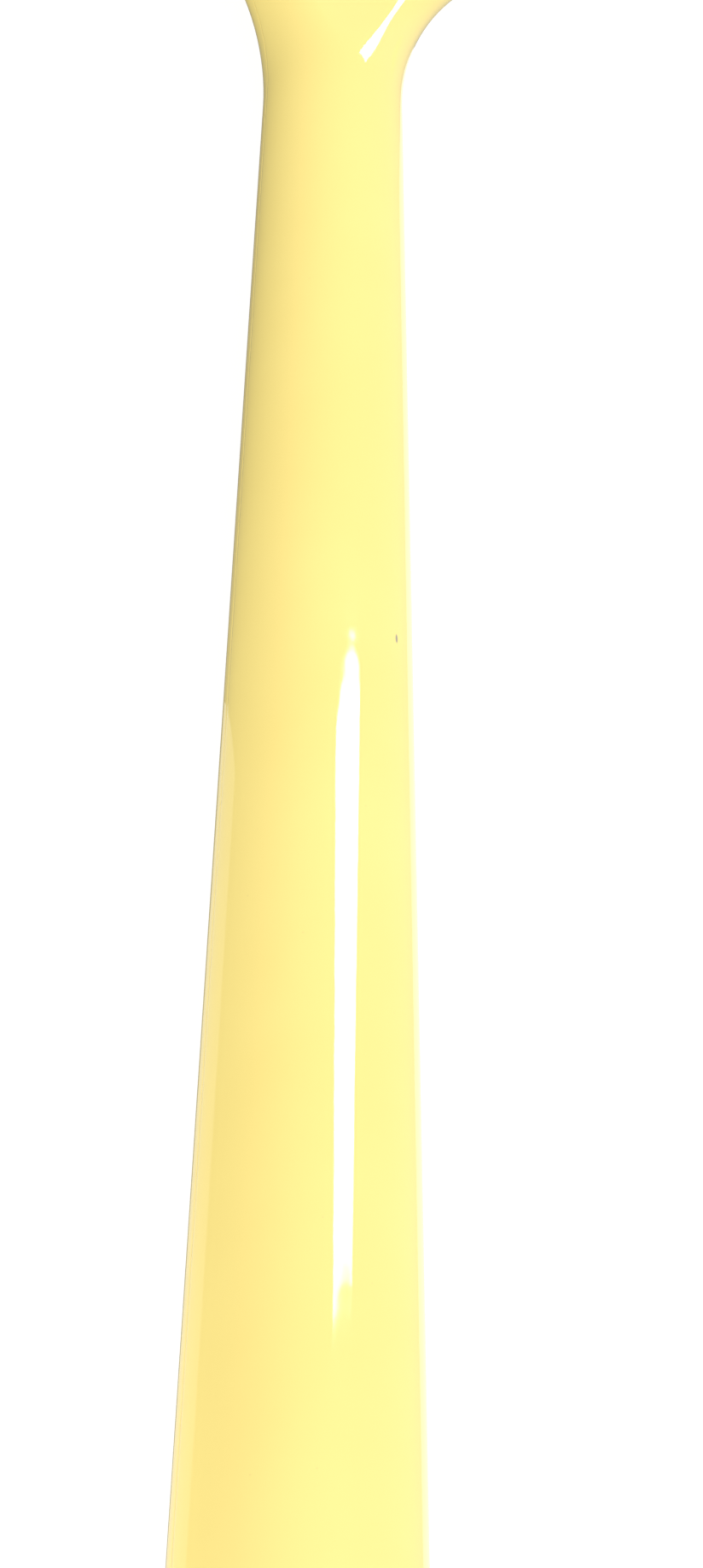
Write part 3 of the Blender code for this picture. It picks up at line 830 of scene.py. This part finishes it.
def make_screws(steel):
    """Pan-head screws with a blunt tip, each turned a little further than the one before."""
    seat = -SCREW_SEAT_DEPTH - CLEARANCE
    head_end = seat - SCREW_HEAD_HEIGHT
    crown = SCREW_HEAD_HEIGHT * SCREW_CROWN_SHARE
    profile = [(0.0, SCREW_TIP_HEIGHT), (SCREW_SHANK_RADIUS / 2, SCREW_TIP_HEIGHT),
               (SCREW_SHANK_RADIUS, SCREW_TIP_HEIGHT - SCREW_SHANK_RADIUS), (SCREW_SHANK_RADIUS, seat),
               (SCREW_HEAD_RADIUS, seat), (SCREW_HEAD_RADIUS, head_end + crown)]
    for step in range(1, CORNER_STEPS + 1):
        angle = step * SCREW_CROWN_SWEEP / CORNER_STEPS
        radius = SCREW_HEAD_RADIUS * math.cos(angle) ** SCREW_CROWN_POWER
        profile.append((radius, head_end + crown * (1 - math.sin(angle))))
    profile.append((0.0, head_end))
    for number, (place, y) in enumerate(SCREW_PLACES.items()):
        mesh = turned_mesh(place, profile, TURNED_STEPS // 2)
        screw = add_piece(f"pan_screw_{place}", mesh, steel, f"shell_screw_{place}")
        bars = (CROSS_RECESS_TURN, CROSS_RECESS_TURN + math.pi / 2)
        cut(screw, [recess_mesh(head_end, turn) for turn in bars])
        turned = Matrix.Rotation(FIRST_SCREW_TURN + SCREW_TURN_STEP * number, 4, "Z")
        screw.data.transform(Matrix.Translation((0.0, y, 0.0)) @ turned)
        smooth(screw, SCREW_SMOOTH)
        lay_down(screw)


# Studio
FLOOR_SIZE = 6.0
WORLD_LIGHT = 0.60
WORLD_SLOPE = 0.577
WORLD_BRIGHT_SIDE = (0.707, -0.501, 0.499)

# Lights, placed in the racket's axes from a point of it. The key light makes the long highlight, and the
# flare light the one on the throat. Both bounces, the butt card and the lower end of the flare light are below
# the floor, which lets their light through.
SOFTBOXES = {
    "key_softbox": {
        "target": (-0.0009, 0.085, 0.0114), "direction": (-0.0854, 0.9763, -0.1990), "distance": 0.75,
        "size": (0.653, 0.829), "power": 31.0, "turn": math.radians(17.16), "shift": (0.0, 1.829)},
    "side_softbox": {
        "target": (0.0, 0.12, 0.0), "direction": (-0.93, -0.04, 0.36), "distance": 0.9,
        "size": (0.50, 0.50), "power": 4.21},
    "floor_bounce": {
        "target": (-0.0240, -0.0568, 0.0), "direction": (0.0, 0.0, -1.0), "distance": 0.02,
        "size": (0.026, 0.3926), "power": 0.0155},
    "rim_bounce": {
        "target": (0.030, 0.075, 0.0), "direction": (0.0, 0.0, -1.0), "distance": 0.02,
        "size": (0.050, 0.350), "power": 0.036},
    "butt_card": {
        "target": (-0.012, 0.05, 0.0), "direction": (-0.55, -0.55, -0.63), "distance": 0.20,
        "size": (0.12, 0.12), "power": 0.29},
    "flare_softbox": {
        "target": (0.003, 0.224, 0.007), "direction": (0.3740, 0.8804, -0.2914), "distance": 1.0,
        "size": (0.196, 1.08), "power": 7.5, "turn": math.radians(-3.65), "shift": (-0.2037, 0.535)},
}

# Camera, as seen along the handle from above its left side
CAMERA_DIP = math.radians(35)
CAMERA_SWING = math.radians(-19.98)
CAMERA_ROLL = math.radians(1.078)
CAMERA_DISTANCE = 0.5301
CAMERA_TARGET = Vector((0.0, 0.11664, 0.0))
CAMERA_SIDESTEP = 0.00381
CAMERA_LENS = 111.61
SENSOR_WIDTH = 36.0
CLIP_START = 0.01


def make_floor():
    """Floor that only the camera sees: it neither lights nor shades the racket."""
    half = FLOOR_SIZE / 2
    corners = [(-half, -half, 0), (half, -half, 0), (half, half, 0), (-half, half, 0)]
    mesh = bpy.data.meshes.new("floor")
    mesh.from_pydata(corners, [], [(0, 1, 2, 3)])
    mesh.materials.append(floor_material())
    floor = bpy.data.objects.new("floor", mesh)
    bpy.context.scene.collection.objects.link(floor)
    floor.visible_diffuse = False
    floor.visible_glossy = False
    floor.visible_shadow = False


def make_world():
    """White surroundings that brighten steadily towards one side."""
    world = bpy.data.worlds.new("studio")
    world.use_nodes = True
    nodes = world.node_tree.nodes
    links = world.node_tree.links
    facing = nodes.new("ShaderNodeVectorMath")
    facing.operation = "DOT_PRODUCT"
    facing.inputs[1].default_value = WORLD_BRIGHT_SIDE
    links.new(nodes.new("ShaderNodeTexCoord").outputs["Generated"], facing.inputs[0])
    glow = spread(nodes, links, facing.outputs["Value"], -1.0, 1.0,
                  WORLD_LIGHT - WORLD_SLOPE, WORLD_LIGHT + WORLD_SLOPE)
    nodes["Background"].inputs["Color"].default_value = (1.0, 1.0, 1.0, 1.0)
    links.new(glow, nodes["Background"].inputs["Strength"])
    bpy.context.scene.world = world


def make_softbox(name, target, direction, distance, size, power, turn=0.0, shift=(0.0, 0.0)):
    """Light square to a line from a point of the racket, turned about it and shifted in the light's plane."""
    light = bpy.data.lights.new(name, "AREA")
    light.shape = "RECTANGLE"
    light.size, light.size_y = size
    light.energy = power
    lamp = bpy.data.objects.new(name, light)
    bpy.context.scene.collection.objects.link(lamp)
    back = Vector(direction).normalized()
    left = (back * back.x - Vector((1.0, 0.0, 0.0))).normalized()
    axes = Matrix((left, back.cross(left), back)).transposed().to_4x4()
    spin = Matrix.Rotation(turn, 4, "Z") @ Matrix.Translation((*shift, 0.0))
    lamp.matrix_world = PLACE @ Matrix.Translation(Vector(target) + back * distance) @ axes @ spin
    lamp.visible_camera = False


def make_camera():
    toward = Vector((math.cos(CAMERA_DIP) * math.sin(CAMERA_SWING), -math.sin(CAMERA_DIP),
                     math.cos(CAMERA_DIP) * math.cos(CAMERA_SWING)))
    along = Vector((0.0, 1.0, 0.0))
    level_up = (along - toward * toward.dot(along)).normalized()
    level_right = level_up.cross(toward)
    right = level_right * math.cos(CAMERA_ROLL) + level_up * math.sin(CAMERA_ROLL)
    up = level_up * math.cos(CAMERA_ROLL) - level_right * math.sin(CAMERA_ROLL)
    data = bpy.data.cameras.new("camera")
    data.lens = CAMERA_LENS
    data.sensor_width = SENSOR_WIDTH
    data.clip_start = CLIP_START
    camera = bpy.data.objects.new("camera", data)
    bpy.context.scene.collection.objects.link(camera)
    axes = Matrix((right, up, toward)).transposed().to_4x4()
    stand = CAMERA_TARGET + right * CAMERA_SIDESTEP + toward * CAMERA_DISTANCE
    camera.matrix_world = PLACE @ Matrix.Translation(stand) @ axes
    bpy.context.scene.camera = camera


# The scene

make_camera()
yellow = plastic_material()
nylon = nylon_material()
make_shells(yellow)
make_hoop(yellow)
make_string("main_strings", "main_string", main_chords(), HOLE_ROW_HEIGHT, nylon)
make_string("cross_strings", "cross_string", cross_chords(), -HOLE_ROW_HEIGHT, nylon)
make_butt_cap(yellow)
make_screws(steel_material())
make_floor()
make_world()
for name, values in SOFTBOXES.items():
    make_softbox(name, **values)

view = bpy.context.scene.view_settings
view.view_transform = "Standard"
view.look = "None"
